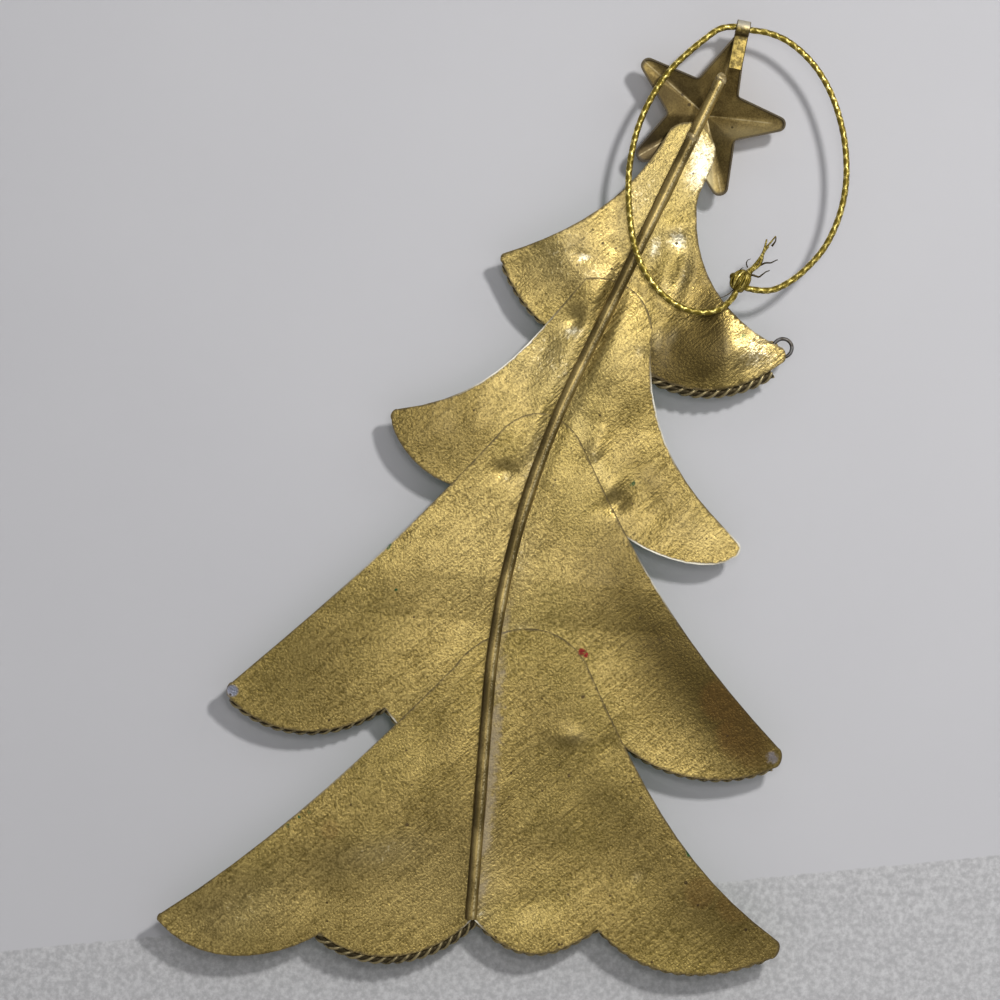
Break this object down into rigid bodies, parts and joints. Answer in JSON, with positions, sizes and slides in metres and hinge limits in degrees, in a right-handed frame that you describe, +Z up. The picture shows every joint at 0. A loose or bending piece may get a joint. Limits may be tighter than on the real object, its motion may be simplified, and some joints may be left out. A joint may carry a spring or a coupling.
{
  "type": "hanging tree ornament",
  "caption": "Flat sheet-metal tree of lapped scalloped tiers on a bent rod, with twisted wire hems, a hollow star, a curled eye and a hanging cord loop.",
  "frame": {"origin": "middle of the hanger's curled eye, through which the cord passes", "axes": "+Z up, +Y from the plain back towards the decorated front, +X to the right when the back is seen"},
  "size_m": [0.1818, 0.0143, 0.2515],
  "materials": {
    "gilt_sheet": "brushed gold paint on sheet steel, satin",
    "rope_gilt": "dark antique gold paint on twisted wire",
    "gilt_rod": "gold paint on steel, worn satin",
    "star_gilt": "dark gold paint on pressed steel",
    "solder": "solder under thin gold paint",
    "ring_steel": "bare steel wire, dull",
    "cord_gold": "braided metallic yarn"
  },
  "bodies": {
    "tree": {"tier_top": "gilt_sheet", "tier_upper": "gilt_sheet", "tier_lower": "gilt_sheet", "tier_bottom": "gilt_sheet", "rope_top": "rope_gilt", "rope_upper": "rope_gilt", "rope_lower": "rope_gilt", "rope_bottom": "rope_gilt", "stem_rod": "gilt_rod", "star": "star_gilt", "hanger_strap": "gilt_rod", "tip_ring": "ring_steel", "stem_solder": "solder", "rod_end_solder": "solder", "crown_solder": "solder", "ring_solder": "solder"},
    "cord": {"cord_left": "cord_gold", "cord_right": "cord_gold", "cord_knot": "cord_gold", "cord_tails": "cord_gold"}
  },
  "joints": [
    {"name": "cord_swing", "type": "hinge", "parent": "tree", "child": "cord", "pos_m": [0, 0, 0], "axis": [-0.9806, 0, 0.1959], "range_deg": [0, 320]}
  ]
}
